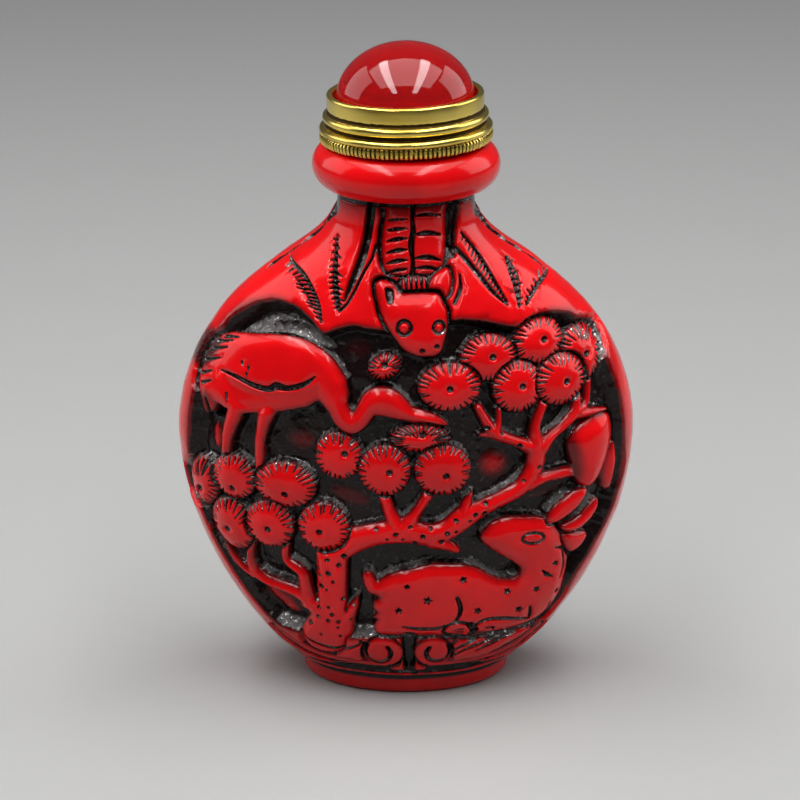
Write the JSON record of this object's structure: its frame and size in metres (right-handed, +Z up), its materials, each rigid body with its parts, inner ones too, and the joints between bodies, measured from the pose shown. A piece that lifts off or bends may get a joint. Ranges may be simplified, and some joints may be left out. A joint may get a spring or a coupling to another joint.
{
  "type": "snuff bottle",
  "caption": "Flattened shield-shaped snuff bottle with a deep relief panel on each face, a round lip, and a domed glass stopper in a ribbed brass collar.",
  "frame": {"origin": "centre of the underside of the oval foot", "axes": "+Z up along the bottle's axis, front face with the bat, crane and deer towards -Y, +X to the viewer's right"},
  "size_m": [0.0558, 0.0306, 0.0798],
  "materials": {
    "resin": "deep red cast resin, glossy, with glossy black patina in the relief",
    "brass": "gilt brass, worn and slightly darkened in the grooves",
    "glass": "clear red glass over a crinkled foil base",
    "cork": "natural cork"
  },
  "bodies": {
    "root": {"bottle": "resin", "stopper_collar": "brass", "stopper_cabochon": "glass", "stopper_cork": "cork"}
  },
  "joints": []
}
